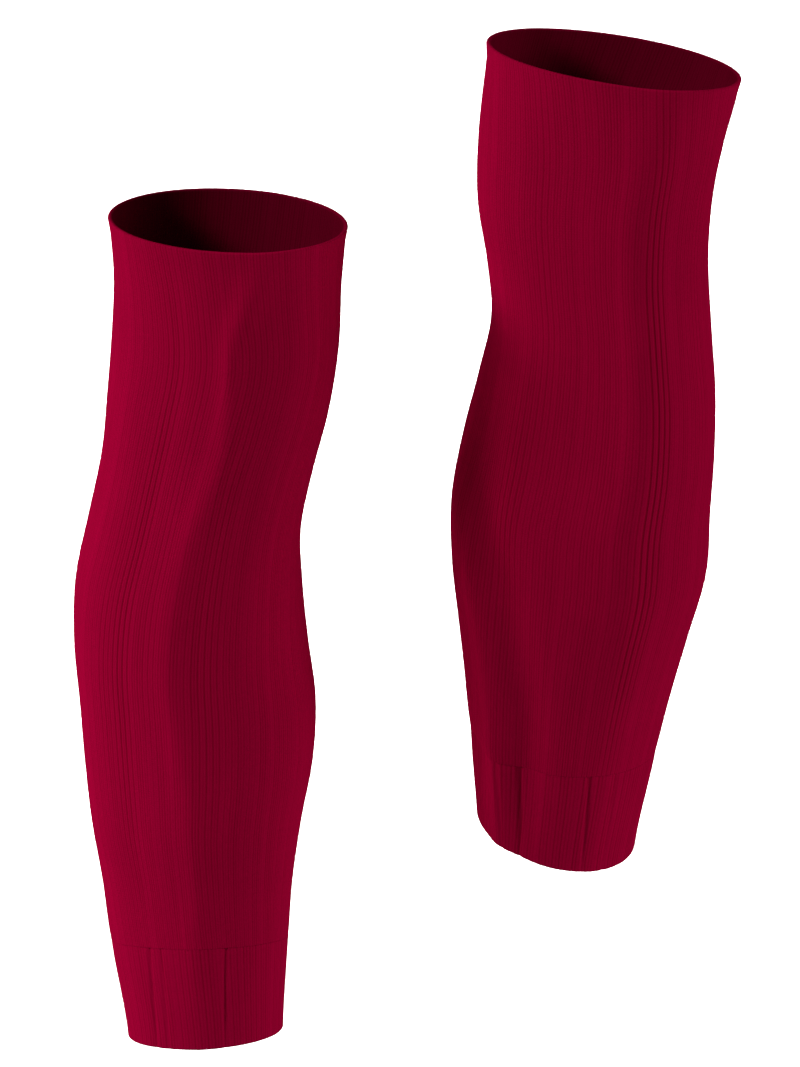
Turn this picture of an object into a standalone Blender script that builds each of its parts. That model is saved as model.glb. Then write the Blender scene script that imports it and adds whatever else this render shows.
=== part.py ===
"""A pair of ribbed knit leg sleeves, each an open tube from above the knee to the ankle.

Both keep the hollow form of a walking leg, and each has a leg tube and an ankle cuff.
Units are metres, +Z is up, the shins face -Y, and the origin is the middle of the right
calf, where the wearer's leg holds the sleeve up.
"""
import math
from collections import namedtuple

import bmesh
import bpy
from mathutils import Matrix, Vector

MM = 0.001

# Knit wall: a plain inside, rib valleys one wall out from it, and rib crests above those
WALL = 1.4 * MM
RIB_HEIGHT = 0.6 * MM
LEG_RIBS = 116
CUFF_RIBS = 76
POINTS_PER_RIB = 2
RIBS_PER_INNER_POINT = 2
SEAM_GAP = 0.3 * MM

# Ring counts along the pieces
LEG_RINGS = 13
CUFF_RINGS = 3

# Where the middle of each hem lies in the world
RIGHT_HEM = Vector((8.1, -23.0, -201.0)) * MM
LEFT_HEM = RIGHT_HEM + Vector((176.8, 10.0, 106.5)) * MM

# Finish
SHARP_EDGE = 60.0
CRIMSON = (0.262, 0.0006, 0.0242, 1.0)
CUFF_CRIMSON = (0.254, 0.0006, 0.0235, 1.0)
KNIT_ROUGHNESS = 0.92

# Sections stand above the hem's middle, in millimetres. A positive roll lowers the side
# towards +X and a positive pitch raises the shin side, both in degrees. The skew is how far
# the front leans forward towards +X, as a share of the width, because the leg is deepest
# through its shin, which looks a little to +X.
Section = namedtuple("Section", "height centre_x centre_y half_width half_depth roll pitch skew")

RIGHT_SECTIONS = [
    Section(0.0, -1.3, 0.0, 40.0, 45.0, -5.7, 6.5, 0.12),
    Section(48.3, -4.2, 6.0, 45.6, 49.0, -4.0, 11.0, 0.12),
    Section(78.4, -5.3, 11.0, 49.0, 52.0, -3.0, 8.0, 0.12),
    Section(108.8, -5.7, 15.0, 54.0, 56.0, -3.0, 5.0, 0.12),
    Section(139.1, -4.5, 19.5, 58.7, 60.0, -3.0, 3.0, 0.12),
    Section(170.0, -5.0, 22.0, 60.7, 63.0, -3.0, 1.0, 0.12),
    Section(201.3, -8.2, 23.0, 60.1, 64.0, -2.4, 0.0, 0.14),
    Section(233.9, -9.0, 19.5, 58.0, 61.5, -1.0, 0.0, 0.18),
    Section(266.9, -5.9, 14.5, 54.0, 57.5, -0.1, 0.0, 0.24),
    Section(299.3, 0.6, 12.0, 53.6, 55.8, -0.1, 0.0, 0.3),
    Section(331.0, 6.2, 11.5, 56.2, 57.0, -0.6, 0.0, 0.3),
    Section(362.6, 9.9, 11.5, 57.5, 59.0, -1.6, 0.0, 0.3),
    Section(394.2, 11.2, 11.5, 57.6, 60.5, -2.1, 0.0, 0.3),
    Section(424.1, 11.4, 12.0, 59.8, 62.0, -2.1, 0.0, 0.3),
]

LEFT_SECTIONS = [
    Section(0.0, 0.0, 0.0, 40.9, 46.0, 5.7, -11.0, 0.34),
    Section(46.7, 3.5, -5.0, 47.0, 48.5, -2.9, -4.5, 0.35),
    Section(77.9, 5.7, -7.0, 52.0, 50.5, -2.2, -4.0, 0.37),
    Section(110.1, 8.2, -9.0, 58.0, 54.0, -2.4, -4.0, 0.38),
    Section(141.8, 10.9, -9.5, 64.0, 58.5, -3.4, -3.0, 0.38),
    Section(173.8, 11.7, -11.0, 64.8, 60.5, -3.4, -2.0, 0.38),
    Section(206.0, 15.5, -13.0, 62.6, 60.5, -1.6, -2.0, 0.39),
    Section(239.0, 19.3, -17.5, 59.0, 58.0, -1.6, -1.0, 0.39),
    Section(272.4, 21.2, -23.5, 54.8, 55.5, -3.6, 0.0, 0.39),
    Section(304.7, 19.2, -26.0, 55.2, 54.5, -6.6, 0.0, 0.39),
    Section(336.4, 17.6, -26.5, 58.4, 56.0, -5.4, 1.0, 0.38),
    Section(367.7, 20.4, -25.5, 60.3, 58.0, -1.4, 1.0, 0.38),
    Section(407.0, 26.8, -23.0, 62.2, 60.0, 3.1, 2.0, 0.38),
]

# A fold runs up the sleeve through its bends, each at a height in millimetres and an angle
# in degrees from the front, positive towards +X. Its width is in degrees. Its depth is in
# millimetres, positive for a trough and negative for a ridge.
Bend = namedtuple("Bend", "height angle width depth")

RIGHT_FOLDS = [
    # Crest of the shin and the knee, which turns from the light
    [
        Bend(-5.0, 0.0, 12.0, -1.2),
        Bend(35.0, -1.0, 11.0, -2.6),
        Bend(79.0, 3.0, 10.0, -3.4),
        Bend(132.0, -2.0, 10.0, -3.6),
        Bend(184.0, -8.0, 10.0, -3.8),
        Bend(226.0, -7.0, 10.0, -3.8),
        Bend(269.0, -2.0, 10.0, -3.6),
        Bend(316.0, 7.0, 11.0, -3.6),
        Bend(350.0, 6.0, 10.0, -4.0),
        Bend(374.0, 4.0, 10.0, -3.8),
        Bend(400.0, 11.0, 14.0, -2.6),
        Bend(430.0, 14.0, 16.0, -0.4),
    ],
    # Flat on the crest's -X side
    [
        Bend(-5.0, -36.0, 18.0, 0.4),
        Bend(40.0, -37.0, 18.0, 1.6),
        Bend(100.0, -36.0, 18.0, 2.4),
        Bend(150.0, -38.0, 18.0, 2.0),
        Bend(220.0, -38.0, 18.0, 1.6),
        Bend(290.0, -30.0, 18.0, 2.6),
        Bend(340.0, -30.0, 18.0, 2.6),
        Bend(390.0, -32.0, 20.0, 1.6),
        Bend(430.0, -34.0, 20.0, 0.1),
    ],
    # Flat on its +X side, where the calf begins
    [
        Bend(90.0, 50.0, 18.0, 0.0),
        Bend(150.0, 46.0, 18.0, 1.3),
        Bend(184.0, 50.0, 20.0, 2.6),
        Bend(226.0, 55.0, 20.0, 2.4),
        Bend(265.0, 52.0, 20.0, 0.8),
        Bend(310.0, 50.0, 20.0, 0.0),
    ],
    # Hollows and ridges round the back
    [Bend(60.0, 108.0, 11.0, 0.0), Bend(190.0, 117.0, 11.0, 1.6), Bend(330.0, 112.0, 11.0, 0.0)],
    [Bend(180.0, 158.0, 9.0, 0.0), Bend(310.0, 151.0, 9.0, -1.4), Bend(430.0, 162.0, 9.0, -0.2)],
    [Bend(-5.0, 175.0, 12.0, 0.9), Bend(90.0, 170.0, 12.0, 1.8), Bend(210.0, 178.0, 12.0, 0.0)],
    [Bend(230.0, -172.0, 10.0, 0.0), Bend(295.0, -166.0, 10.0, 2.2), Bend(360.0, -168.0, 10.0, 0.0)],
    [Bend(40.0, -128.0, 12.0, 0.0), Bend(170.0, -136.0, 12.0, 1.2), Bend(300.0, -130.0, 12.0, 0.0)],
]

LEFT_FOLDS = [
    # Crest of the shin and the knee
    [
        Bend(-5.0, 18.0, 12.0, -1.2),
        Bend(40.0, 18.0, 12.0, -2.4),
        Bend(79.0, 20.0, 12.0, -3.0),
        Bend(110.0, 20.0, 12.0, -3.0),
        Bend(153.0, 17.0, 12.0, -3.2),
        Bend(195.0, 20.0, 12.0, -3.2),
        Bend(237.0, 22.0, 12.0, -3.0),
        Bend(284.0, 21.0, 12.0, -3.0),
        Bend(342.0, 20.0, 12.0, -3.2),
        Bend(375.0, 19.0, 14.0, -2.6),
        Bend(412.0, 18.0, 16.0, -0.5),
    ],
    # Flat on the crest's -X side
    [
        Bend(60.0, -14.0, 20.0, 0.4),
        Bend(110.0, -14.0, 22.0, 1.4),
        Bend(153.0, -16.0, 24.0, 2.2),
        Bend(195.0, -18.0, 24.0, 2.6),
        Bend(284.0, -20.0, 26.0, 3.0),
        Bend(342.0, -20.0, 26.0, 3.0),
        Bend(380.0, -22.0, 26.0, 2.2),
        Bend(412.0, -24.0, 26.0, 0.3),
    ],
    # Hollow between the shin and the calf
    [
        Bend(-5.0, -28.0, 9.0, 0.8),
        Bend(37.0, -29.0, 9.0, 2.6),
        Bend(79.0, -30.0, 9.0, 3.8),
        Bend(105.0, -31.0, 9.0, 4.0),
        Bend(130.0, -36.0, 10.0, 3.8),
        Bend(153.0, -43.0, 11.0, 3.2),
        Bend(175.0, -51.0, 12.0, 3.0),
        Bend(210.0, -58.0, 13.0, 2.2),
        Bend(247.0, -60.0, 13.0, 1.2),
        Bend(285.0, -60.0, 13.0, 0.0),
    ],
    # Calf that swells beside it
    [
        Bend(-5.0, -48.0, 10.0, -0.6),
        Bend(40.0, -48.0, 10.0, -1.8),
        Bend(95.0, -49.0, 10.0, -2.4),
        Bend(140.0, -60.0, 12.0, -2.2),
        Bend(175.0, -74.0, 13.0, -1.6),
        Bend(230.0, -88.0, 13.0, 0.0),
    ],
    # Hollows and ridges round the back
    [Bend(60.0, 112.0, 11.0, 0.0), Bend(175.0, 105.0, 11.0, 1.5), Bend(290.0, 110.0, 11.0, 0.0)],
    [Bend(-5.0, 161.0, 12.0, 1.0), Bend(105.0, 168.0, 12.0, 1.9), Bend(240.0, 158.0, 12.0, 0.0)],
    [Bend(220.0, 172.0, 10.0, 0.0), Bend(295.0, 166.0, 10.0, 2.3), Bend(370.0, 174.0, 10.0, 0.0)],
    [Bend(170.0, -146.0, 9.0, 0.0), Bend(300.0, -152.0, 9.0, -1.3), Bend(412.0, -141.0, 9.0, -0.2)],
]

# Creases are sharp lines in the cuff's outer face only, with the folds' columns
RIGHT_CREASES = [
    [Bend(-5.0, -38.0, 2.6, 0.7), Bend(20.0, -36.0, 2.6, 0.8), Bend(50.0, -33.0, 2.6, 0.6)],
    [Bend(-5.0, 15.0, 2.6, 0.6), Bend(20.0, 16.5, 2.6, 0.7), Bend(50.0, 18.0, 2.6, 0.5)],
    [Bend(-5.0, 142.0, 2.6, 0.8), Bend(50.0, 137.0, 2.6, 0.6)],
]

LEFT_CREASES = [
    [Bend(-5.0, -41.0, 2.6, 0.7), Bend(50.0, -44.0, 2.6, 0.8)],
    [Bend(-5.0, -26.0, 2.6, 0.7), Bend(50.0, -30.0, 2.6, 0.8)],
    [Bend(-5.0, 23.0, 2.6, 0.7), Bend(50.0, 17.0, 2.6, 0.6)],
    [Bend(-5.0, 150.0, 2.6, 0.8), Bend(50.0, 147.0, 2.6, 0.6)],
]

Sleeve = namedtuple("Sleeve", "side hem sections folds creases")
RIGHT_SLEEVE = Sleeve("right", RIGHT_HEM, RIGHT_SECTIONS, RIGHT_FOLDS, RIGHT_CREASES)
LEFT_SLEEVE = Sleeve("left", LEFT_HEM, LEFT_SECTIONS, LEFT_FOLDS, LEFT_CREASES)


def clear_scene():
    """Removes every object, so the model starts from nothing."""
    for thing in list(bpy.data.objects):
        bpy.data.objects.remove(thing, do_unlink=True)


def knit_material(name, colour):
    """Returns a matt knit material of one colour."""
    material = bpy.data.materials.new(name)
    material.use_nodes = True
    shader = material.node_tree.nodes["Principled BSDF"]
    shader.inputs["Base Color"].default_value = colour
    shader.inputs["Roughness"].default_value = KNIT_ROUGHNESS
    shader.inputs["Metallic"].default_value = 0.0
    return material


def through_four(before, start, end, after, share):
    """Returns the smooth value between start and end, with the neighbours' slopes."""
    slope_start = (end - before) / 2
    slope_end = (after - start) / 2
    square = share * share
    cube = square * share
    return (
        (2 * cube - 3 * square + 1) * start
        + (cube - 2 * square + share) * slope_start
        + (3 * square - 2 * cube) * end
        + (cube - square) * slope_end
    )


def row_at(rows, height):
    """Returns the smooth row of a table of sections or bends at a height in millimetres."""
    last = len(rows) - 2
    place = 0
    while place < last and rows[place + 1].height < height:
        place += 1
    start = rows[place]
    end = rows[place + 1]
    before = rows[max(place - 1, 0)]
    after = rows[min(place + 2, len(rows) - 1)]
    share = (height - start.height) / (end.height - start.height)
    values = [through_four(*four, share) for four in zip(before, start, end, after)]
    return type(start)(*values)._replace(height=height)


def bends_at(folds, height):
    """Returns the bend of each fold that crosses a height in millimetres."""
    crossing = [fold for fold in folds if fold[0].height <= height <= fold[-1].height]
    return [row_at(fold, height) for fold in crossing]


def fold_lift(bends, angle):
    """Returns how far the bends move the wall out, in metres, at an angle in degrees."""
    lift = 0.0
    for bend in bends:
        away = (angle - bend.angle + 180.0) % 360.0 - 180.0
        lift -= bend.depth * math.exp(-((away / bend.width) ** 2))
    return lift * MM


def wall_point(sleeve, section, angle, outwards):
    """Returns the point of a section at an angle in degrees, moved outwards in metres."""
    turn = math.radians(angle)
    wide = section.half_width * MM
    deep = section.half_depth * MM
    lean = section.skew * wide
    side = math.sin(turn)
    front = -math.cos(turn)
    outward = Vector((deep * side + lean * front, wide * front, 0.0)).normalized()
    point = Vector((wide * side, deep * front - lean * side, 0.0))
    tilt = Matrix.Rotation(math.radians(section.roll), 3, "Y")
    tilt = tilt @ Matrix.Rotation(-math.radians(section.pitch), 3, "X")
    middle = Vector((section.centre_x, section.centre_y, section.height)) * MM
    return sleeve.hem + middle + tilt @ (point + outward * outwards)


def outer_ring(sleeve, height, ribs):
    """Returns the ribbed outer points at a height: valley, crest, valley and so on."""
    section = row_at(sleeve.sections, height)
    bends = bends_at(sleeve.folds + sleeve.creases, height)
    count = ribs * POINTS_PER_RIB
    points = []
    for step in range(count):
        angle = 360.0 * step / count
        lift = fold_lift(bends, angle)
        if step % POINTS_PER_RIB == 1:
            lift += RIB_HEIGHT
        points.append(wall_point(sleeve, section, angle, lift - RIB_HEIGHT))
    return points


def inner_ring(sleeve, height, ribs):
    """Returns the plain inner points at a height, one wall inside the valleys."""
    section = row_at(sleeve.sections, height)
    bends = bends_at(sleeve.folds, height)
    count = ribs // RIBS_PER_INNER_POINT
    points = []
    for step in range(count):
        angle = 360.0 * step / count
        lift = fold_lift(bends, angle)
        points.append(wall_point(sleeve, section, angle, lift - RIB_HEIGHT - WALL))
    return points


def add_surface(mesh, rings):
    """Extrudes a circle through the rings and returns its first and last loops of edges."""
    order = mesh.verts.layers.int["order"]
    circle = bmesh.ops.create_circle(mesh, segments=len(rings[0]), radius=WALL)["verts"]
    for place, vert in enumerate(circle):
        vert[order] = place
        vert.co = rings[0][place]
    first = list({edge for vert in circle for edge in vert.link_edges})
    loop = first
    for ring in rings[1:]:
        grown = bmesh.ops.extrude_edge_only(mesh, edges=loop)["geom"]
        moved = {part for part in grown if isinstance(part, bmesh.types.BMVert)}
        for vert in moved:
            vert.co = ring[vert[order]]
        edges = [part for part in grown if isinstance(part, bmesh.types.BMEdge)]
        loop = [edge for edge in edges if moved.issuperset(edge.verts)]
    return first, loop


def knit_tube(name, sleeve, low, high, ring_count, ribs, material):
    """Makes one open tube of ribbed knit between two heights in millimetres."""
    heights = [low + (high - low) * step / (ring_count - 1) for step in range(ring_count)]
    mesh = bmesh.new()
    mesh.verts.layers.int.new("order")
    outer = add_surface(mesh, [outer_ring(sleeve, height, ribs) for height in heights])
    inner = add_surface(mesh, [inner_ring(sleeve, height, ribs) for height in heights])
    for outer_loop, inner_loop in zip(outer, inner):
        bmesh.ops.triangle_fill(mesh, use_beauty=True, edges=outer_loop + inner_loop)
    bmesh.ops.recalc_face_normals(mesh, faces=mesh.faces)
    data = bpy.data.meshes.new(name)
    mesh.to_mesh(data)
    mesh.free()
    data.materials.append(material)
    data.shade_smooth()
    data.set_sharp_from_angle(angle=math.radians(SHARP_EDGE))
    tube = bpy.data.objects.new(name, data)
    bpy.context.collection.objects.link(tube)
    return tube


def build_sleeve(sleeve, leg_material, cuff_material):
    """Makes the leg tube and the ankle cuff of one sleeve, parted by the seam's gap."""
    hem = sleeve.sections[0].height
    seam = sleeve.sections[1].height
    top = sleeve.sections[-1].height
    half_gap = SEAM_GAP / MM / 2
    cuff = f"{sleeve.side}_ankle_cuff"
    leg = f"{sleeve.side}_leg_tube"
    knit_tube(cuff, sleeve, hem, seam - half_gap, CUFF_RINGS, CUFF_RIBS, cuff_material)
    knit_tube(leg, sleeve, seam + half_gap, top, LEG_RINGS, LEG_RIBS, leg_material)


def main():
    """Builds both sleeves."""
    clear_scene()
    leg_material = knit_material("crimson_leg_knit", CRIMSON)
    cuff_material = knit_material("crimson_cuff_knit", CUFF_CRIMSON)
    for sleeve in (RIGHT_SLEEVE, LEFT_SLEEVE):
        build_sleeve(sleeve, leg_material, cuff_material)


main()
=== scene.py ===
"""Looks of a pair of ribbed knit leg sleeves, worn and hollow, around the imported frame.

Tables and pattern sizes are millimetres and degrees, as a knitter would note them. Meshes
are metres, with +Z up and the shins towards -Y, where the camera stands.
"""
import logging
import math
import random
from dataclasses import astuple, dataclass
from enum import Enum
from typing import ClassVar

import bmesh
import bpy
from mathutils import Matrix, Vector


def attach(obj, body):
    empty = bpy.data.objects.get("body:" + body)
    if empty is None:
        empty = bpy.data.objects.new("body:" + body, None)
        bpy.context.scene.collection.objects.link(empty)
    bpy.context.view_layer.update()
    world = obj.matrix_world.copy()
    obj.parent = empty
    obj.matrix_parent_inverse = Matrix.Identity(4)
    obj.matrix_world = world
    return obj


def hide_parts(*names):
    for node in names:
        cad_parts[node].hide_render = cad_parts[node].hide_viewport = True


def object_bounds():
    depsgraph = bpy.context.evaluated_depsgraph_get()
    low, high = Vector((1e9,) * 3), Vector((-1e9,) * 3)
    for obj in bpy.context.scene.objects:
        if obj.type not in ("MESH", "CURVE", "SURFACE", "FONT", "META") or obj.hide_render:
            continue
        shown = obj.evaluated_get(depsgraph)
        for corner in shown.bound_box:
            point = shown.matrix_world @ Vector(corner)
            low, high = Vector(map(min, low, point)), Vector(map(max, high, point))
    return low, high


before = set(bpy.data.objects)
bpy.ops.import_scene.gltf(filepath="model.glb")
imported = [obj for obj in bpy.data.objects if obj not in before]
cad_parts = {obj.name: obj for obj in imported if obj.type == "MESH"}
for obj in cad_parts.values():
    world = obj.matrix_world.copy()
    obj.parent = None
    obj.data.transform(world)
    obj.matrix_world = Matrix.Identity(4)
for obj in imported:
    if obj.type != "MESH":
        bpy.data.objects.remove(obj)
CAD_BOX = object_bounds()

MM = 0.001
FULL_TURN = 360.0
LOG = logging.getLogger("leg_sleeves")

STEPS_PER_RIB = 8
WALES_PER_RIB = 2
COURSE = 1.25

# The camera's height angle, and how far its line of sight falls on each unit forward
CAMERA_ELEVATION = 16.5
CAMERA_FALL = 0.296

PICTURE_ROWS = 1067
PIXEL = 0.505

DYED_FACE = "#8C022C"
# Painted shade: a darker red that the material lays in the rib grooves, where shade falls
PAINTED_GROOVE_SHADE = "#74021F"


def turned_from(angle: float, other: float) -> float:
    """Returns how far an angle is turned from another, from -180 to 180 degrees."""
    return (angle - other + FULL_TURN / 2) % FULL_TURN - FULL_TURN / 2


def bell(away: float, width: float) -> float:
    """Returns a soft hump's height, which is 1 in its middle and falls off over its width."""
    return math.exp(-((away / width) ** 2))


class Piece(Enum):
    """The pieces that a knitter makes for one sleeve, by the slot of their finish."""

    LEG = "leg_knit"
    CUFF = "cuff_knit"


@dataclass(frozen=True)
class Row:
    """One line of a table that runs up the leg, by its height above the hem's middle."""

    height: float


@dataclass(frozen=True)
class Section(Row):
    """One ring of the worn form.

    A positive slope lowers the side towards +X, as the camera sees the ring, and a positive
    pitch raises the shin side. The ring's own roll follows from its slope and its skew.
    The turn is how far the ribs have wandered round the leg, towards +X at the front. The
    skew is how far the front leans forward towards +X, as a share of the width, because the
    leg is deepest through its shin, which looks a little to +X.
    """

    centre_x: float
    centre_y: float
    half_width: float
    half_depth: float
    slope: float
    pitch: float
    turn: float
    skew: float

    def tilt(self) -> Matrix:
        """Works out the turn that the ring has from lying level.

        Returns:
            The turn, whose roll makes up for the skew, so the camera sees the slope.
        """
        pitch = math.radians(self.pitch)
        rise = CAMERA_FALL * math.cos(pitch) - math.sin(pitch)
        roll = math.radians(self.slope) - math.atan(rise * self.skew)
        return Matrix.Rotation(roll, 3, "Y") @ Matrix.Rotation(-pitch, 3, "X")


@dataclass(frozen=True)
class Bend(Row):
    """One place on a fold: its angle from the shin, its width in degrees and its depth."""

    angle: float
    width: float
    depth: float

    REACH: ClassVar[float] = 3.0

    def lift(self, angle: float) -> float:
        """Works out how far the fold moves the wall out.

        Args:
            angle: degrees round the leg from the shin.

        Returns:
            The move in millimetres, negative where the wall sinks.
        """
        away = turned_from(angle, self.angle)
        if abs(away) > self.REACH * self.width:
            return 0.0
        return -self.depth * bell(away, self.width)


def between(rows: tuple[Row, ...], height: float) -> Row:
    """Returns the smooth row between a table's rows.

    Args:
        rows: the table, upwards, all of one class.
        height: millimetres above the hem's middle.

    Returns:
        A row of the same class, on the rows' smooth course.
    """
    last = len(rows) - 2
    place = 0
    while place < last and rows[place + 1].height < height:
        place += 1
    start, end = rows[place], rows[place + 1]
    before, after = rows[max(place - 1, 0)], rows[min(place + 2, len(rows) - 1)]
    share = (height - start.height) / (end.height - start.height)
    fours = zip(astuple(before), astuple(start), astuple(end), astuple(after))
    values = [through_four(*four, share) for four in fours]
    return type(start)(height, *values[1:])


@dataclass(frozen=True)
class Fold:
    """A soft trough or ridge that runs up the leg through its bends.

    A positive depth is a trough, a negative one a ridge.
    """

    bends: tuple[Bend, ...]

    def at(self, height: float) -> Bend | None:
        """Finds the fold's place at a height.

        Args:
            height: millimetres above the hem's middle.

        Returns:
            The bend there, or nothing above and below the fold.
        """
        if self.bends[0].height <= height <= self.bends[-1].height:
            return between(self.bends, height)
        return None


def fold(*rows: tuple[float, float, float, float]) -> Fold:
    """Returns the fold through rows of height, angle, width and depth."""
    return Fold(tuple(Bend(*row) for row in rows))


@dataclass(frozen=True)
class LegForm:
    """The form that one sleeve keeps from the leg that wears it."""

    hem: Vector
    sections: tuple[Section, ...]
    folds: tuple[Fold, ...]

    def section(self, height: float) -> Section:
        """Returns the smooth section at a height."""
        return between(self.sections, height)


@dataclass(frozen=True)
class OpenRib:
    """Grooves side by side that have opened, between two heights, at an angle from the shin."""

    angle: float
    low: float
    high: float
    depth: float
    count: int = 1

    LEAST_SHARE: ClassVar[float] = 0.4

    def share(self, place: int) -> float:
        """Returns how far one of the grooves opens, the middle ones most."""
        middle = math.sin(math.pi * (place + 0.5) / self.count)
        return self.LEAST_SHARE + (1 - self.LEAST_SHARE) * middle

    def deepen(self, height: float) -> float:
        """Returns how much deeper the groove is at a height."""
        share = (height - self.low) / (self.high - self.low)
        return self.depth * math.sin(math.pi * share) if 0.0 < share < 1.0 else 0.0


@dataclass(frozen=True)
class Dip:
    """A stretch of the seam that hangs lower than the rest, or higher if its drop is negative."""

    angle: float
    width: float
    drop: float

    def at(self, angle: float) -> float:
        """Returns how far the seam drops at an angle."""
        return self.drop * bell(turned_from(angle, self.angle), self.width)


@dataclass(frozen=True)
class RibRelief:
    """The knit's relief: two rounded wales to a rib, and a deeper groove between ribs."""

    valley: float
    split: float
    roundness: float = 0.7
    uneven_low: float = 0.8
    uneven_high: float = 1.2
    sway: float = 0.15

    def depth(self, phase: float) -> float:
        """Works out the relief across one rib.

        Args:
            phase: the place across the rib, from 0 to 1.

        Returns:
            How many millimetres the surface lies under the crests.
        """
        wale = abs(math.sin(2 * math.pi * phase)) ** self.roundness
        near_valley = (1 + math.cos(2 * math.pi * phase)) / 2
        groove = self.valley * near_valley + self.split * (1 - near_valley)
        return groove * (1 - wale)


@dataclass(frozen=True)
class Station:
    """One ring on the way round the wall: up the outside, over the rim, down the inside."""

    height: float
    outwards: float
    relief: float
    along: float


@dataclass
class KnitTube:
    """One open tube of ribbed knit with a rounded rim at both ends."""

    name: str
    node: str
    piece: Piece
    form: LegForm
    low: float
    high: float
    seam: float
    ribs: int
    outer_rings: int
    inner_rings: int
    relief: RibRelief
    open_ribs: tuple[OpenRib, ...]
    extra_folds: tuple[Fold, ...]
    dips: tuple[Dip, ...]
    flat_size: tuple[float, float]
    seed: int
    wall: float = 1.7
    foot_round: float = 0.85
    head_round: float = 0.85
    lip: float = 0.0
    edge_band: float = 0.22
    bead_steps: int = 6
    dip_reach: float = 14.0
    lip_drop: float = 1.0
    lip_reach: float = 1.6
    rim_relief: float = 0.8
    inner_relief: float = 0.75
    shortest_sway: float = 60.0
    longest_sway: float = 170.0
    groove_flank: float = 0.35

    def stations(self) -> list[Station]:
        """Lays the rings round the wall, from the outside's foot and back to it.

        Returns:
            The rings: up the outside, over the head, down the inside and round the foot.
        """
        bead = self.wall / 2
        foot = self.low + self.foot_round
        head = self.high - self.head_round
        rows = []
        for height in self.wall_heights(foot, head, self.outer_rings):
            rows.append((height, self.lip_swell(height), 1.0))
        for step in range(1, self.bead_steps):
            turn = math.pi * step / self.bead_steps
            outwards = self.lip_swell(head) * math.cos(turn / 2) - bead * (1 - math.cos(turn))
            rows.append((head + self.head_round * math.sin(turn), outwards, self.rim_relief))
        for height in self.wall_heights(head, foot, self.inner_rings):
            rows.append((height, -self.wall, self.inner_relief))
        for step in range(1, self.bead_steps):
            turn = math.pi * step / self.bead_steps
            outwards = -self.wall + bead * (1 - math.cos(turn))
            rows.append((foot - self.foot_round * math.sin(turn), outwards, self.rim_relief))
        along = 0.0
        stations = []
        for place, (height, outwards, relief) in enumerate(rows):
            if place:
                along += math.hypot(height - rows[place - 1][0], outwards - rows[place - 1][1])
            stations.append(Station(height, outwards, relief, along))
        return stations

    def wall_heights(self, start: float, end: float, rings: int) -> list[float]:
        """Spaces rings evenly, with one more beside each end, which keeps it crisp.

        Args:
            start: the first ring's height.
            end: the last ring's height.
            rings: the number of evenly spaced rings.

        Returns:
            The heights from start to end.
        """
        even = [start + (end - start) * ring / (rings - 1) for ring in range(rings)]
        beside = math.copysign(self.edge_band, end - start)
        return [start, start + beside, *even[1:-1], end - beside, end]

    def lip_swell(self, height: float) -> float:
        """Returns how far the turned lip stands out at a height."""
        return self.lip * bell(self.high - self.lip_drop - height, self.lip_reach)

    def draw_ribs(self) -> tuple[list[float], list[float], list[float]]:
        """Draws what sets each rib apart.

        Returns:
            Each rib's own depth, its sway's length and its sway's phase.
        """
        draw = random.Random(self.seed)
        relief = self.relief
        depths = [draw.uniform(relief.uneven_low, relief.uneven_high) for _ in range(self.ribs)]
        lengths = [draw.uniform(self.shortest_sway, self.longest_sway) for _ in range(self.ribs)]
        phases = [draw.uniform(0.0, 2 * math.pi) for _ in range(self.ribs)]
        return depths, lengths, phases

    def rib_depths(self, height: float, drawn: tuple[list[float], ...]) -> list[float]:
        """Works out how deep each point round the tube lies under the crests.

        Args:
            height: millimetres above the hem's middle.
            drawn: the ribs' own depths and sways.

        Returns:
            The depths round the tube, in millimetres.
        """
        depths, lengths, phases = drawn
        shape = [self.relief.depth(step / STEPS_PER_RIB) for step in range(STEPS_PER_RIB)]
        extra = [0.0] * (self.ribs + 1)
        for groove in self.open_ribs:
            first = round(groove.angle / FULL_TURN * self.ribs) - groove.count // 2
            for place in range(groove.count):
                extra[(first + place) % self.ribs] += groove.share(place) * groove.deepen(height)
        extra[self.ribs] = extra[0]
        result = []
        for rib in range(self.ribs):
            sway = math.sin(2 * math.pi * height / lengths[rib] + phases[rib])
            factor = depths[rib] * (1 + self.relief.sway * sway)
            for step in range(STEPS_PER_RIB):
                depth = shape[step] * factor
                if step == 0:
                    depth += extra[rib]
                elif step == 1:
                    depth += extra[rib] * self.groove_flank
                elif step == STEPS_PER_RIB - 1:
                    depth += extra[rib + 1] * self.groove_flank
                result.append(depth)
        return result

    def ring(self, station: Station, drawn: tuple[list[float], ...]) -> list[tuple[Vector, float]]:
        """Works out one ring of the wall.

        Args:
            station: the ring's place round the wall.
            drawn: the ribs' own depths and sways.

        Returns:
            Each point, with how deep it lies in its groove from 0 to 1.
        """
        section = self.form.section(station.height)
        tilt = section.tilt()
        middle = Vector((section.centre_x, section.centre_y, section.height))
        creases = self.form.folds + self.extra_folds
        crossing = [crease.at(station.height) for crease in creases]
        bends = [bend for bend in crossing if bend]
        near_seam = bell(station.height - self.seam, self.dip_reach)
        wide, deep = section.half_width, section.half_depth
        depths = self.rib_depths(station.height, drawn)
        count = self.ribs * STEPS_PER_RIB
        points = []
        lean = section.skew * wide
        for step, depth in enumerate(depths):
            angle = FULL_TURN * step / count + section.turn
            turn = math.radians(angle)
            side, front = math.sin(turn), -math.cos(turn)
            out = station.outwards - depth * station.relief
            out += sum(bend.lift(angle) for bend in bends)
            outward = Vector((deep * side + lean * front, wide * front, 0.0)).normalized()
            flat = Vector((wide * side, deep * front - lean * side, 0.0)) + outward * out
            drop = sum(dip.at(angle) for dip in self.dips) * near_seam
            place = middle + tilt @ flat - Vector((0.0, 0.0, drop))
            points.append((self.form.hem + place * MM, min(depth / self.relief.valley, 1.0)))
        return points

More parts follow.
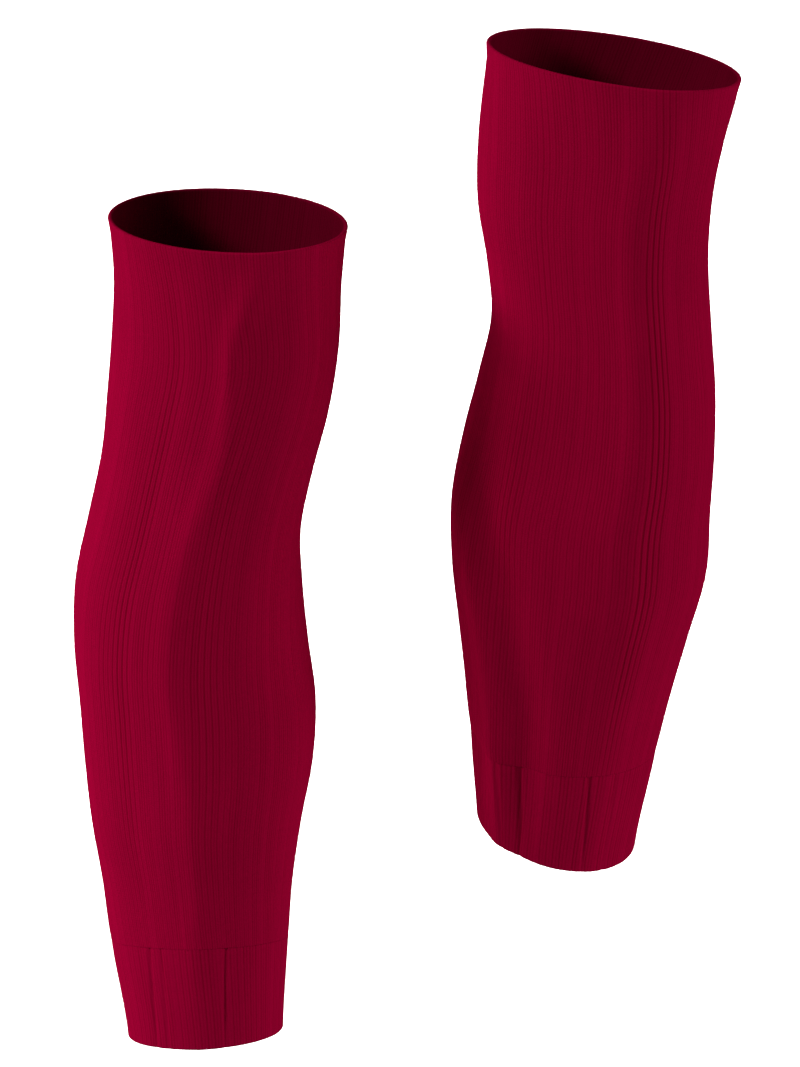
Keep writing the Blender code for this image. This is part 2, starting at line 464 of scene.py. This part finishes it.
    def build(self) -> bpy.types.Object:
        """Builds the tube by extruding a circle through every ring of its wall.

        Returns:
            The new object, placed in its mesh, with its knit map and groove depths.
        """
        mesh = bmesh.new()
        order = mesh.verts.layers.int.new("order")
        groove = mesh.verts.layers.float.new("groove")
        inside = mesh.verts.layers.float.new("inside")
        along = mesh.verts.layers.float.new("along")
        drawn = self.draw_ribs()
        count = self.ribs * STEPS_PER_RIB
        circle = bmesh.ops.create_circle(mesh, segments=count, radius=MM)["verts"]
        for place, vert in enumerate(circle):
            vert[order] = place
        first = list({edge for vert in circle for edge in vert.link_edges})
        loop, moved = first, set(circle)
        for number, station in enumerate(self.stations()):
            if number:
                grown = bmesh.ops.extrude_edge_only(mesh, edges=loop)["geom"]
                moved = {part for part in grown if isinstance(part, bmesh.types.BMVert)}
                edges = [part for part in grown if isinstance(part, bmesh.types.BMEdge)]
                loop = [edge for edge in edges if moved.issuperset(edge.verts)]
            points = self.ring(station, drawn)
            for vert in moved:
                vert.co, vert[groove] = points[vert[order]]
                vert[along] = station.along
                vert[inside] = min(-station.outwards / self.wall, 1.0)
        bmesh.ops.bridge_loops(mesh, edges=loop + first)
        bmesh.ops.recalc_face_normals(mesh, faces=mesh.faces)
        self.map_knit(mesh, order, along)
        data = bpy.data.meshes.new(self.name)
        mesh.to_mesh(data)
        mesh.free()
        data.shade_smooth()
        tube = bpy.data.objects.new(self.name, data)
        bpy.context.collection.objects.link(tube)
        return tube

    def map_knit(
        self,
        mesh: bmesh.types.BMesh,
        order: bmesh.types.BMLayerItem,
        along: bmesh.types.BMLayerItem,
    ) -> None:
        """Writes the knit map: wales round the tube and courses along it.

        Args:
            mesh: the tube's mesh.
            order: each point's place round the tube.
            along: each point's way along the wall, in millimetres.
        """
        knit = mesh.loops.layers.uv.new("knit")
        count = self.ribs * STEPS_PER_RIB
        for face in mesh.faces:
            places = [corner.vert[order] for corner in face.loops]
            wraps = max(places) - min(places) > count / 2
            ways = [corner.vert[along] for corner in face.loops]
            closes = max(ways) - min(ways) > self.high - self.low
            for corner, place, way in zip(face.loops, places, ways):
                if wraps and place < count / 2:
                    place += count
                if closes and way > self.high - self.low:
                    way = 0.0
                wales = place * WALES_PER_RIB / STEPS_PER_RIB
                corner[knit].uv = (wales, way / COURSE)


def through_four(before: float, start: float, end: float, after: float, share: float) -> float:
    """Returns the smooth value between start and end.

    Args:
        before: the value of the row under start.
        start: the value at share 0.
        end: the value at share 1.
        after: the value of the row above end.
        share: how far from start to end.

    Returns:
        The value there, with the neighbours' slopes.
    """
    slope_start = (end - before) / 2
    slope_end = (after - start) / 2
    square = share * share
    cube = square * share
    return (
        (2 * cube - 3 * square + 1) * start
        + (cube - 2 * square + share) * slope_start
        + (3 * square - 2 * cube) * end
        + (cube - square) * slope_end
    )


def linear(code: str) -> tuple[float, float, float, float]:
    """Turns an sRGB hex code into a linear colour.

    Args:
        code: the code, such as "#A0B1C2".

    Returns:
        Red, green, blue and alpha, from 0 to 1.
    """
    shares = [int(code[place : place + 2], 16) / 255 for place in (1, 3, 5)]
    steps = [c / 12.92 if c <= 0.04045 else ((c + 0.055) / 1.055) ** 2.4 for c in shares]
    return (*steps, 1.0)


def add_node(
    tree: bpy.types.NodeTree,
    kind: str,
    inputs: dict[int | str, object] | None = None,
    **settings: object,
) -> bpy.types.Node:
    """Adds a node with its settings, values and links.

    Args:
        tree: the node tree that gets the node.
        kind: the node's type name.
        inputs: for each input, a value, or the output that is linked to it.
        settings: the node's own properties.

    Returns:
        The new node.
    """
    node = tree.nodes.new(kind)
    for name, value in settings.items():
        setattr(node, name, value)
    for socket, value in (inputs or {}).items():
        if isinstance(value, bpy.types.NodeSocket):
            tree.links.new(value, node.inputs[socket])
        else:
            node.inputs[socket].default_value = value
    return node


@dataclass(frozen=True)
class KnitFinish:
    """Dyed rib knit of combed cotton and elastane, with a matt face and a little fuzz."""

    name: str
    face: str
    # the red of the painted shade in the rib grooves
    groove: str
    # how bright the painted shade leaves the inside of the tube, as a share of the outside
    inside_painted_shade: float
    stitch_relief: float
    tone_spread: float
    fuzz_size: float = 0.5
    fuzz_share: float = 0.5
    blotch_size: float = 45.0
    blotch_spread: float = 0.06
    stitch_slope: float = 1.1
    stitch_strength: float = 0.6
    roughness: float = 0.92
    sheen: float = 0.06
    sheen_roughness: float = 0.6

    def material(self) -> bpy.types.Material:
        """Makes the knit's material, which reads the knit map and the groove depths.

        Returns:
            The new material.
        """
        material = bpy.data.materials.new(self.name)
        material.use_nodes = True
        tree = material.node_tree
        tree.nodes.clear()
        colour = self.colour(tree)
        bump = self.stitches(tree)
        shader = add_node(
            tree,
            "ShaderNodeBsdfPrincipled",
            {
                "Base Color": colour,
                "Roughness": self.roughness,
                "Specular IOR Level": 0.0,
                "Specular Tint": linear(self.face),
                "Sheen Weight": self.sheen,
                "Sheen Roughness": self.sheen_roughness,
                "Sheen Tint": linear(self.face),
                "Normal": bump,
            },
        )
        add_node(tree, "ShaderNodeOutputMaterial", {"Surface": shader.outputs[0]})
        return material

    def colour(self, tree: bpy.types.NodeTree) -> bpy.types.NodeSocket:
        """Adds the dye's colour, each wale a little its own, with painted shade in the grooves and
        inside the tube.

        Args:
            tree: the material's node tree.

        Returns:
            The socket that gives the colour.
        """
        knit = add_node(tree, "ShaderNodeUVMap", uv_map="knit")
        across = add_node(tree, "ShaderNodeSeparateXYZ", {0: knit.outputs[0]}).outputs["X"]
        wale = add_node(tree, "ShaderNodeMath", {0: across}, operation="FLOOR").outputs[0]
        draw = add_node(tree, "ShaderNodeTexWhiteNoise", {"W": wale}, noise_dimensions="1D")
        tone = add_node(
            tree,
            "ShaderNodeMapRange",
            {
                "Value": draw.outputs[0],
                "To Min": 1 - self.tone_spread,
                "To Max": 1 + self.tone_spread,
            },
        )
        place = add_node(tree, "ShaderNodeTexCoord").outputs["Object"]
        cloud = add_node(
            tree,
            "ShaderNodeTexNoise",
            {"Vector": place, "Scale": 1 / (self.blotch_size * MM), "Detail": 2.0},
        )
        patch = add_node(
            tree,
            "ShaderNodeMapRange",
            {
                "Value": cloud.outputs[0],
                "To Min": 1 - self.blotch_spread,
                "To Max": 1 + self.blotch_spread,
            },
        )
        both = add_node(
            tree, "ShaderNodeMath", {0: tone.outputs[0], 1: patch.outputs[0]}, operation="MULTIPLY"
        )
        # Painted shade: the deeper a point lies in its groove, the more of the darker groove red it
        # gets
        depth = add_node(tree, "ShaderNodeAttribute", attribute_name="groove").outputs["Fac"]
        dye_and_groove_shade = add_node(
            tree,
            "ShaderNodeMix",
            {0: depth, 6: linear(self.face), 7: linear(self.groove)},
            data_type="RGBA",
        )
        # Painted shade: the inside of the tube is darkened, as if in shade
        inside = add_node(tree, "ShaderNodeAttribute", attribute_name="inside").outputs["Fac"]
        shade = add_node(
            tree,
            "ShaderNodeMapRange",
            {"Value": inside, "To Min": 1.0, "To Max": self.inside_painted_shade},
        )
        tone_and_painted_shade = add_node(
            tree,
            "ShaderNodeMath",
            {0: both.outputs[0], 1: shade.outputs[0]},
            operation="MULTIPLY",
        )
        cloth_with_painted_shade = add_node(
            tree,
            "ShaderNodeVectorMath",
            {0: dye_and_groove_shade.outputs[2], "Scale": tone_and_painted_shade.outputs[0]},
            operation="SCALE",
        )
        return cloth_with_painted_shade.outputs[0]

    def stitches(self, tree: bpy.types.NodeTree) -> bpy.types.NodeSocket:
        """Adds the V of each stitch and the yarn's fuzz.

        Args:
            tree: the material's node tree.

        Returns:
            The socket that gives the bumped normal.
        """
        knit = add_node(tree, "ShaderNodeUVMap", uv_map="knit")
        split = add_node(tree, "ShaderNodeSeparateXYZ", {0: knit.outputs[0]})
        across = add_node(
            tree, "ShaderNodeMath", {0: split.outputs["X"]}, operation="FRACT"
        ).outputs[0]
        centred = add_node(
            tree, "ShaderNodeMath", {0: across, 1: 0.5}, operation="SUBTRACT"
        ).outputs[0]
        arm = add_node(tree, "ShaderNodeMath", {0: centred}, operation="ABSOLUTE").outputs[0]
        lean = add_node(
            tree,
            "ShaderNodeMath",
            {0: arm, 1: self.stitch_slope, 2: split.outputs["Y"]},
            operation="MULTIPLY_ADD",
        ).outputs[0]
        course = add_node(tree, "ShaderNodeMath", {0: lean}, operation="FRACT").outputs[0]
        phase = add_node(
            tree, "ShaderNodeMath", {0: course, 1: math.pi}, operation="MULTIPLY"
        ).outputs[0]
        loop = add_node(tree, "ShaderNodeMath", {0: phase}, operation="SINE").outputs[0]
        place = add_node(tree, "ShaderNodeTexCoord").outputs["Object"]
        fuzz = add_node(
            tree,
            "ShaderNodeTexNoise",
            {"Vector": place, "Scale": 1 / (self.fuzz_size * MM), "Detail": 3.0},
        ).outputs[0]
        height = add_node(
            tree, "ShaderNodeMath", {0: fuzz, 1: self.fuzz_share, 2: loop}, operation="MULTIPLY_ADD"
        ).outputs[0]
        bump = add_node(
            tree,
            "ShaderNodeBump",
            {
                "Height": height,
                "Strength": self.stitch_strength,
                "Distance": self.stitch_relief * MM,
            },
        )
        return bump.outputs[0]


@dataclass(frozen=True)
class PaperFinish:
    """Matt white seamless paper, which gives a plain pale ground."""

    name: str = "matt_seamless_paper"
    face: str = "#EFEFEE"
    grain: float = 6.0
    grain_relief: float = 0.1
    grain_strength: float = 0.1
    roughness: float = 0.95

    def material(self) -> bpy.types.Material:
        """Makes the paper's material, with a faint grain.

        Returns:
            The new material.
        """
        material = bpy.data.materials.new(self.name)
        material.use_nodes = True
        tree = material.node_tree
        tree.nodes.clear()
        place = add_node(tree, "ShaderNodeTexCoord").outputs["Object"]
        grain = add_node(
            tree, "ShaderNodeTexNoise", {"Vector": place, "Scale": 1 / (self.grain * MM)}
        )
        bump = add_node(
            tree,
            "ShaderNodeBump",
            {
                "Height": grain.outputs[0],
                "Strength": self.grain_strength,
                "Distance": self.grain_relief * MM,
            },
        )
        shader = add_node(
            tree,
            "ShaderNodeBsdfPrincipled",
            {
                "Base Color": linear(self.face),
                "Roughness": self.roughness,
                "Normal": bump.outputs[0],
            },
        )
        add_node(tree, "ShaderNodeOutputMaterial", {"Surface": shader.outputs[0]})
        return material


# Columns of a section: height, centre x and y, half width and depth, slope, pitch, turn, skew
# Columns of a fold: height, angle from the shin, width in degrees, depth
RIGHT_HEM = Vector((8.1, -23.0, -201.0)) * MM
LEFT_HEM = RIGHT_HEM + Vector((176.8, 10.0, 106.5)) * MM

RIGHT_FORM = LegForm(
    hem=RIGHT_HEM,
    sections=(
        Section(0.0, -1.3, 0.0, 40.0, 45.0, -3.7, 6.5, 0.0, 0.26),
        Section(48.3, -4.2, 6.0, 45.6, 49.0, -2.0, 11.0, -2.0, 0.34),
        Section(78.4, -5.3, 11.0, 49.0, 52.0, -0.9, 8.0, -4.0, 0.35),
        Section(108.8, -5.7, 15.0, 54.0, 56.0, -1.0, 5.0, -6.0, 0.34),
        Section(139.1, -4.5, 19.5, 58.7, 60.0, -1.0, 3.0, -7.0, 0.34),
        Section(170.0, -5.0, 22.0, 60.7, 63.0, -1.0, 1.0, -7.0, 0.34),
        Section(201.3, -8.2, 23.0, 60.1, 64.0, -0.1, 0.0, -5.0, 0.34),
        Section(233.9, -9.0, 19.5, 58.0, 61.5, 2.1, 0.0, -2.0, 0.36),
        Section(266.9, -5.9, 14.5, 54.0, 57.5, 3.9, 0.0, 0.5, 0.38),
        Section(299.3, 0.6, 12.0, 53.6, 55.8, 5.0, 0.0, 1.0, 0.38),
        Section(331.0, 6.2, 11.5, 56.2, 57.0, 4.5, 0.0, 4.0, 0.38),
        Section(362.6, 9.9, 11.5, 57.5, 59.0, 3.5, 0.0, 7.0, 0.38),
        Section(394.2, 11.2, 11.5, 57.6, 60.5, 2.9, 0.0, 4.0, 0.38),
        Section(424.1, 11.4, 12.0, 59.8, 62.0, 3.0, 0.0, 1.0, 0.36),
    ),
    folds=(
        # Crest of the shin and the knee, which turns from the light
        fold(
            (-5.0, 0.0, 12.0, -1.0),
            (35.0, -1.0, 10.0, -1.9),
            (79.0, 3.0, 9.0, -2.4),
            (132.0, -2.0, 9.0, -2.6),
            (184.0, -8.0, 9.0, -2.8),
            (226.0, -7.0, 9.0, -2.8),
            (269.0, -2.0, 9.0, -2.8),
            (316.0, 7.0, 8.0, -3.2),
            (350.0, 6.0, 7.0, -4.0),
            (374.0, 5.0, 7.0, -4.2),
            (398.0, 12.0, 8.0, -3.8),
            (416.0, 17.0, 10.0, -1.8),
            (430.0, 18.0, 14.0, -0.2),
        ),
        # Flat on the crest's -X side
        fold(
            (-5.0, -36.0, 18.0, 0.4),
            (40.0, -37.0, 18.0, 1.6),
            (100.0, -36.0, 18.0, 2.4),
            (150.0, -38.0, 18.0, 2.0),
            (220.0, -38.0, 18.0, 1.6),
            (290.0, -30.0, 18.0, 2.6),
            (340.0, -30.0, 18.0, 2.6),
            (390.0, -32.0, 20.0, 1.6),
            (430.0, -34.0, 20.0, 0.1),
        ),
        # Flat on its +X side, where the calf begins
        fold(
            (90.0, 50.0, 18.0, 0.0),
            (150.0, 46.0, 18.0, 1.3),
            (184.0, 50.0, 20.0, 2.6),
            (226.0, 55.0, 20.0, 2.4),
            (265.0, 52.0, 20.0, 0.8),
            (310.0, 50.0, 20.0, 0.0),
        ),
        # Hollows and ridges round the back
        fold((60.0, 108.0, 11.0, 0.0), (190.0, 117.0, 11.0, 1.6), (330.0, 112.0, 11.0, 0.0)),
        fold((180.0, 158.0, 9.0, 0.0), (310.0, 151.0, 9.0, -1.4), (430.0, 162.0, 9.0, -0.2)),
        fold((-5.0, 175.0, 12.0, 0.9), (90.0, 170.0, 12.0, 1.8), (210.0, 178.0, 12.0, 0.0)),
        fold((230.0, -172.0, 10.0, 0.0), (295.0, -166.0, 10.0, 2.2), (360.0, -168.0, 10.0, 0.0)),
        fold((40.0, -128.0, 12.0, 0.0), (170.0, -136.0, 12.0, 1.2), (300.0, -130.0, 12.0, 0.0)),
    ),
)

LEFT_FORM = LegForm(
    hem=LEFT_HEM,
    sections=(
        Section(0.0, 0.0, 0.0, 40.9, 46.0, 12.3, -11.0, -2.0, 0.12),
        Section(46.7, 3.5, -5.0, 47.0, 48.5, 3.0, -4.5, -2.0, 0.12),
        Section(77.9, 5.7, -7.0, 52.0, 50.5, 4.1, -4.0, -1.0, 0.14),
        Section(110.1, 8.2, -9.0, 58.0, 54.0, 4.0, -4.0, 0.0, 0.2),
        Section(141.8, 10.9, -9.5, 64.0, 58.5, 2.9, -3.0, 1.0, 0.28),
        Section(173.8, 11.7, -11.0, 64.8, 60.5, 3.1, -2.0, 2.0, 0.34),
        Section(206.0, 15.5, -13.0, 62.6, 60.5, 5.0, -2.0, 3.0, 0.42),
        Section(239.0, 19.3, -17.5, 59.0, 58.0, 5.0, -1.0, 2.0, 0.42),
        Section(272.4, 21.2, -23.5, 54.8, 55.5, 3.0, 0.0, 0.0, 0.42),
        Section(304.7, 19.2, -26.0, 55.2, 54.5, 0.0, 0.0, 0.0, 0.42),
        Section(336.4, 17.6, -26.5, 58.4, 56.0, 1.0, 1.0, 1.5, 0.42),
        Section(367.7, 20.4, -25.5, 60.3, 58.0, 5.0, 1.0, 1.0, 0.42),
        Section(407.0, 26.8, -23.0, 62.2, 60.0, 9.5, 2.0, -6.0, 0.42),
    ),
    folds=(
        # Crest of the shin and the knee
        fold(
            (-5.0, 24.0, 14.0, -0.1),
            (40.0, 24.0, 14.0, -0.4),
            (79.0, 24.0, 14.0, -0.8),
            (110.0, 22.0, 13.0, -1.6),
            (153.0, 18.0, 13.0, -3.2),
            (195.0, 20.0, 13.0, -4.4),
            (237.0, 22.0, 13.0, -4.4),
            (284.0, 22.0, 13.0, -4.4),
            (342.0, 22.0, 13.0, -4.6),
            (375.0, 22.0, 14.0, -4.2),
            (400.0, 20.0, 15.0, -2.4),
            (412.0, 19.0, 16.0, -0.5),
        ),
        # Flat on the crest's -X side
        fold(
            (90.0, -14.0, 20.0, 0.2),
            (120.0, -14.0, 22.0, 1.4),
            (153.0, -14.0, 24.0, 2.8),
            (195.0, -14.0, 24.0, 3.4),
            (284.0, -15.0, 26.0, 3.8),
            (342.0, -16.0, 26.0, 3.8),
            (380.0, -18.0, 26.0, 2.8),
            (412.0, -20.0, 26.0, 0.3),
        ),
        # Hollow between the shin and the calf
        fold(
            (-5.0, -25.0, 11.0, 0.4),
            (20.0, -24.0, 12.0, 2.8),
            (45.0, -24.0, 12.0, 4.2),
            (79.0, -25.0, 12.0, 4.6),
            (105.0, -30.0, 12.0, 4.2),
            (130.0, -36.0, 11.0, 3.6),
            (153.0, -42.0, 11.0, 3.0),
            (175.0, -49.0, 12.0, 3.0),
            (210.0, -58.0, 13.0, 2.2),
            (247.0, -60.0, 13.0, 1.2),
            (285.0, -60.0, 13.0, 0.0),
        ),
        # Calf that swells beside it
        fold(
            (-5.0, -45.0, 9.0, -1.0),
            (40.0, -45.0, 9.0, -3.6),
            (79.0, -46.0, 10.0, -4.0),
            (105.0, -49.0, 10.0, -3.6),
            (140.0, -57.0, 12.0, -2.8),
            (175.0, -72.0, 13.0, -1.8),
            (230.0, -88.0, 13.0, 0.0),
        ),
        # Hollows and ridges round the back
        fold((60.0, 112.0, 11.0, 0.0), (175.0, 105.0, 11.0, 1.5), (290.0, 110.0, 11.0, 0.0)),
        fold((-5.0, 161.0, 12.0, 1.0), (105.0, 168.0, 12.0, 1.9), (240.0, 158.0, 12.0, 0.0)),
        fold((220.0, 172.0, 10.0, 0.0), (295.0, 166.0, 10.0, 2.3), (370.0, 174.0, 10.0, 0.0)),
        fold((170.0, -146.0, 9.0, 0.0), (300.0, -152.0, 9.0, -1.3), (412.0, -141.0, 9.0, -0.2)),
    ),
)

LEG_RELIEF = RibRelief(valley=0.11, split=0.07, uneven_low=0.6, uneven_high=1.4)
CUFF_RELIEF = RibRelief(valley=0.15, split=0.09, uneven_low=0.4, uneven_high=1.6)
SEAM_HALF_GAP = 0.02
SEAM_ROUND = 0.04


@dataclass
class Sleeve:
    """One leg sleeve: a leg tube and, under its seam, an ankle cuff."""

    side: str
    form: LegForm
    leg_grooves: tuple[OpenRib, ...]
    leg_folds: tuple[Fold, ...]
    cuff_folds: tuple[Fold, ...]
    seam_dips: tuple[Dip, ...]
    seed: int

    def tubes(self) -> tuple[KnitTube, KnitTube]:
        """Lays out the sleeve's two tubes, which meet at its seam.

        Returns:
            The leg tube and the ankle cuff.
        """
        rows = self.form.sections
        seam = rows[1].height
        leg = KnitTube(
            name=f"{self.side}_leg_knit",
            node=f"{self.side}_leg_tube",
            piece=Piece.LEG,
            form=self.form,
            low=seam + SEAM_HALF_GAP,
            high=rows[-1].height,
            seam=seam,
            ribs=116,
            outer_rings=56,
            inner_rings=20,
            relief=LEG_RELIEF,
            open_ribs=self.leg_grooves,
            extra_folds=self.leg_folds,
            dips=self.seam_dips,
            flat_size=(0.300, 0.376),
            seed=self.seed,
            foot_round=SEAM_ROUND,
            lip=0.8,
        )
        cuff = KnitTube(
            name=f"{self.side}_cuff_knit",
            node=f"{self.side}_ankle_cuff",
            piece=Piece.CUFF,
            form=self.form,
            low=rows[0].height,
            high=seam - SEAM_HALF_GAP,
            seam=seam,
            ribs=76,
            outer_rings=14,
            inner_rings=8,
            relief=CUFF_RELIEF,
            open_ribs=(),
            extra_folds=self.cuff_folds,
            dips=self.seam_dips,
            flat_size=(0.215, 0.048),
            seed=self.seed + 1,
            head_round=SEAM_ROUND,
        )
        return leg, cuff

    def build(self, finishes: dict[Piece, bpy.types.Material]) -> None:
        """Builds and dresses both tubes.

        Args:
            finishes: the material of each piece.
        """
        for tube in self.tubes():
            thing = tube.build()
            thing.data.materials.append(finishes[tube.piece])
            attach(thing, "root")
            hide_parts(tube.node)
            LOG.info("%s: %d faces", thing.name, len(thing.data.polygons))


def around(
    aim: tuple[float, float, float], azimuth: float, elevation: float, far: float
) -> tuple[float, float, float]:
    """Finds a place round a point.

    Args:
        aim: the point, in metres.
        azimuth: degrees round it, from -Y towards +X.
        elevation: degrees above it.
        far: metres from it.

    Returns:
        The place in metres.
    """
    turn, rise = math.radians(azimuth), math.radians(elevation)
    flat = far * math.cos(rise)
    return (
        aim[0] + flat * math.sin(turn),
        aim[1] - flat * math.cos(turn),
        aim[2] + far * math.sin(rise),
    )


@dataclass(frozen=True)
class Lamp:
    """A soft box, whose grid keeps its light within a spread in degrees."""

    name: str
    place: tuple[float, float, float]
    aim: tuple[float, float, float]
    size: tuple[float, float]
    power: float
    spread: float

    def build(self) -> None:
        """Adds the soft box, facing its aim."""
        data = bpy.data.lights.new(self.name, "AREA")
        data.shape = "RECTANGLE"
        data.size, data.size_y = self.size
        data.spread = math.radians(self.spread)
        data.energy = self.power
        lamp = bpy.data.objects.new(self.name, data)
        lamp.location = self.place
        way = Vector(self.aim) - Vector(self.place)
        lamp.rotation_euler = way.to_track_quat("-Z", "Y").to_euler()
        bpy.context.collection.objects.link(lamp)


@dataclass
class Studio:
    """A pale paper floor, soft boxes on both sides and behind, and a camera on a long lens."""

    lamps: tuple[Lamp, ...] = (
        Lamp(
            "left_soft_box",
            place=around((0.1, 0.0, -0.04), -79.0, 31.0, 4.0),
            aim=(0.1, 0.0, -0.04),
            size=(2.2, 0.9),
            power=22.4,
            spread=65.0,
        ),
        Lamp(
            "right_soft_box",
            place=around((0.1, 0.0, 0.0), 66.0, 18.0, 4.0),
            aim=(0.1, 0.0, 0.0),
            size=(1.4, 1.4),
            power=14.0,
            spread=65.0,
        ),
        Lamp(
            "back_soft_box",
            place=around((0.14, 0.0, -0.1), -130.0, 0.0, 2.5),
            aim=(0.14, 0.0, -0.1),
            size=(0.6, 0.8),
            power=3.6,
            spread=60.0,
        ),
        Lamp(
            "floor_soft_box",
            place=(0.1, 2.3, 0.95),
            aim=(0.1, 2.3, -0.4),
            size=(1.6, 2.8),
            power=66.0,
            spread=90.0,
        ),
    )
    ambient: float = 0.12
    backdrop: float = 0.92
    floor_drop: float = 0.3
    floor_radius: float = 9.0
    camera_distance: float = 6.0
    camera_elevation: float = CAMERA_ELEVATION
    aim: tuple[float, float, float] = (0.1058, 0.0, 0.0563)
    picture_height: float = PICTURE_ROWS * PIXEL * MM
    sensor: float = 36.0
    farthest: float = 40.0

    def build(self) -> None:
        """Builds the floor, the lights, the surroundings and the camera."""
        self.floor()
        for lamp in self.lamps:
            lamp.build()
        self.surroundings()
        self.camera()

    def floor(self) -> None:
        """Lays the paper under the lower hem."""
        mesh = bmesh.new()
        bmesh.ops.create_circle(mesh, cap_ends=True, segments=96, radius=self.floor_radius)
        height = CAD_BOX[0][2] - self.floor_drop
        bmesh.ops.translate(mesh, verts=mesh.verts, vec=(0.0, 0.0, height))
        data = bpy.data.meshes.new("paper_floor")
        mesh.to_mesh(data)
        mesh.free()
        data.materials.append(PaperFinish().material())
        paper = bpy.data.objects.new("paper_floor", data)
        bpy.context.collection.objects.link(paper)

    def surroundings(self) -> None:
        """Fills the room with dim even light, and lets its walls look pale."""
        world = bpy.data.worlds.new("white_room")
        bpy.context.scene.world = world
        world.use_nodes = True
        world.node_tree.nodes.clear()
        seen = add_node(world.node_tree, "ShaderNodeLightPath").outputs["Is Camera Ray"]
        strength = add_node(
            world.node_tree,
            "ShaderNodeMapRange",
            {"Value": seen, "To Min": self.ambient, "To Max": self.backdrop},
        )
        ground = add_node(
            world.node_tree,
            "ShaderNodeBackground",
            {"Color": (1.0, 1.0, 1.0, 1.0), "Strength": strength.outputs[0]},
        )
        add_node(world.node_tree, "ShaderNodeOutputWorld", {"Surface": ground.outputs[0]})
        bpy.context.scene.view_settings.view_transform = "Standard"

    def camera(self) -> None:
        """Stands the camera in front of the shins, a little above them."""
        data = bpy.data.cameras.new("long_lens")
        data.sensor_width = self.sensor
        data.lens = self.sensor * self.camera_distance / self.picture_height
        data.clip_end = self.farthest
        rise = math.radians(self.camera_elevation)
        back = Vector((0.0, -math.cos(rise), math.sin(rise)))
        camera = bpy.data.objects.new("camera", data)
        camera.location = Vector(self.aim) + back * self.camera_distance
        camera.rotation_euler = (-back).to_track_quat("-Z", "Y").to_euler()
        bpy.context.collection.objects.link(camera)
        bpy.context.scene.camera = camera


def sleeves() -> tuple[Sleeve, Sleeve]:
    """Gives each sleeve its grooves and small folds, by angle from the shin and height.

    Returns:
        The right and the left sleeve.
    """
    right = Sleeve(
        side="right",
        form=RIGHT_FORM,
        leg_grooves=(
            OpenRib(-31.0, 60.0, 430.0, 0.3, 4),
            OpenRib(-45.0, 120.0, 330.0, 0.12, 3),
            OpenRib(-17.0, 150.0, 420.0, 0.1, 4),
            OpenRib(12.0, 60.0, 400.0, 0.12, 5),
            OpenRib(96.0, 60.0, 300.0, 0.25, 3),
            OpenRib(140.0, 120.0, 420.0, 0.3, 4),
            OpenRib(-150.0, 60.0, 330.0, 0.3, 3),
            OpenRib(-100.0, 200.0, 430.0, 0.2, 4),
        ),
        leg_folds=(),
        cuff_folds=(
            fold((-5.0, -38.0, 1.4, 0.3), (20.0, -37.0, 1.4, 1.0), (50.0, -35.0, 1.4, 0.8)),
            fold((-5.0, -27.0, 1.6, 0.3), (20.0, -26.5, 1.6, 0.6), (50.0, -25.0, 1.6, 0.4)),
            fold((-5.0, 16.0, 1.3, 0.3), (20.0, 17.0, 1.3, 1.0), (50.0, 18.5, 1.3, 0.9)),
            fold((-5.0, 142.0, 1.8, 0.8), (50.0, 137.0, 1.8, 0.6)),
            fold((-5.0, -120.0, 1.8, 0.5), (50.0, -116.0, 1.8, 0.6)),
        ),
        seam_dips=(),
        seed=11,
    )
    left = Sleeve(
        side="left",
        form=LEFT_FORM,
        leg_grooves=(
            OpenRib(32.0, 40.0, 430.0, 0.4, 4),
            OpenRib(24.0, 30.0, 240.0, 0.15, 3),
            OpenRib(-31.0, 200.0, 420.0, 0.1, 3),
            OpenRib(-40.0, 100.0, 260.0, 0.15, 5),
            OpenRib(60.0, 180.0, 410.0, 0.1, 3),
            OpenRib(98.0, 60.0, 300.0, 0.25, 4),
            OpenRib(150.0, 80.0, 330.0, 0.3, 3),
            OpenRib(-140.0, 120.0, 400.0, 0.3, 4),
            OpenRib(-105.0, 60.0, 330.0, 0.2, 3),
        ),
        leg_folds=(
            fold(
                (46.0, -60.0, 16.0, -0.9),
                (53.0, -61.0, 16.0, -2.6),
                (64.0, -63.0, 16.0, -1.6),
                (92.0, -66.0, 16.0, 0.0),
            ),
        ),
        cuff_folds=(
            fold((-5.0, -41.0, 1.5, 0.3), (12.0, -41.5, 1.5, 0.6), (50.0, -44.0, 1.5, 0.8)),
            fold((-5.0, -27.0, 1.5, 0.4), (12.0, -28.0, 1.5, 1.0), (50.0, -31.0, 1.5, 0.9)),
            fold((-5.0, 20.0, 1.3, 0.1), (20.0, 18.0, 1.3, 1.0), (50.0, 15.0, 1.3, 0.9)),
            fold((-5.0, 37.0, 1.6, 0.3), (50.0, 33.0, 1.6, 0.5)),
            fold((-5.0, 150.0, 1.8, 0.8), (50.0, 147.0, 1.8, 0.6)),
            fold((-5.0, -112.0, 1.8, 0.5), (50.0, -110.0, 1.8, 0.6)),
            fold((18.0, -60.0, 16.0, 0.0), (50.0, -60.0, 16.0, 0.7)),
        ),
        seam_dips=(Dip(-75.0, 26.0, -8.0),),
        seed=23,
    )
    return right, left


def main() -> None:
    """Builds the studio and both sleeves."""
    logging.basicConfig(level=logging.INFO, format="%(message)s")
    Studio().build()
    # Both are one yarn in a matt rib knit, with painted shade in the grooves and on the inside of
    # the tube
    looks = {"inside_painted_shade": 0.32, "stitch_relief": 0.06, "tone_spread": 0.02}
    leg = KnitFinish("crimson_rib_knit_leg", DYED_FACE, PAINTED_GROOVE_SHADE, **looks)
    cuff = KnitFinish("crimson_rib_knit_cuff", DYED_FACE, PAINTED_GROOVE_SHADE, **looks)
    finishes = {Piece.LEG: leg.material(), Piece.CUFF: cuff.material()}
    for sleeve in sleeves():
        sleeve.build(finishes)


if __name__ == "__main__":
    main()
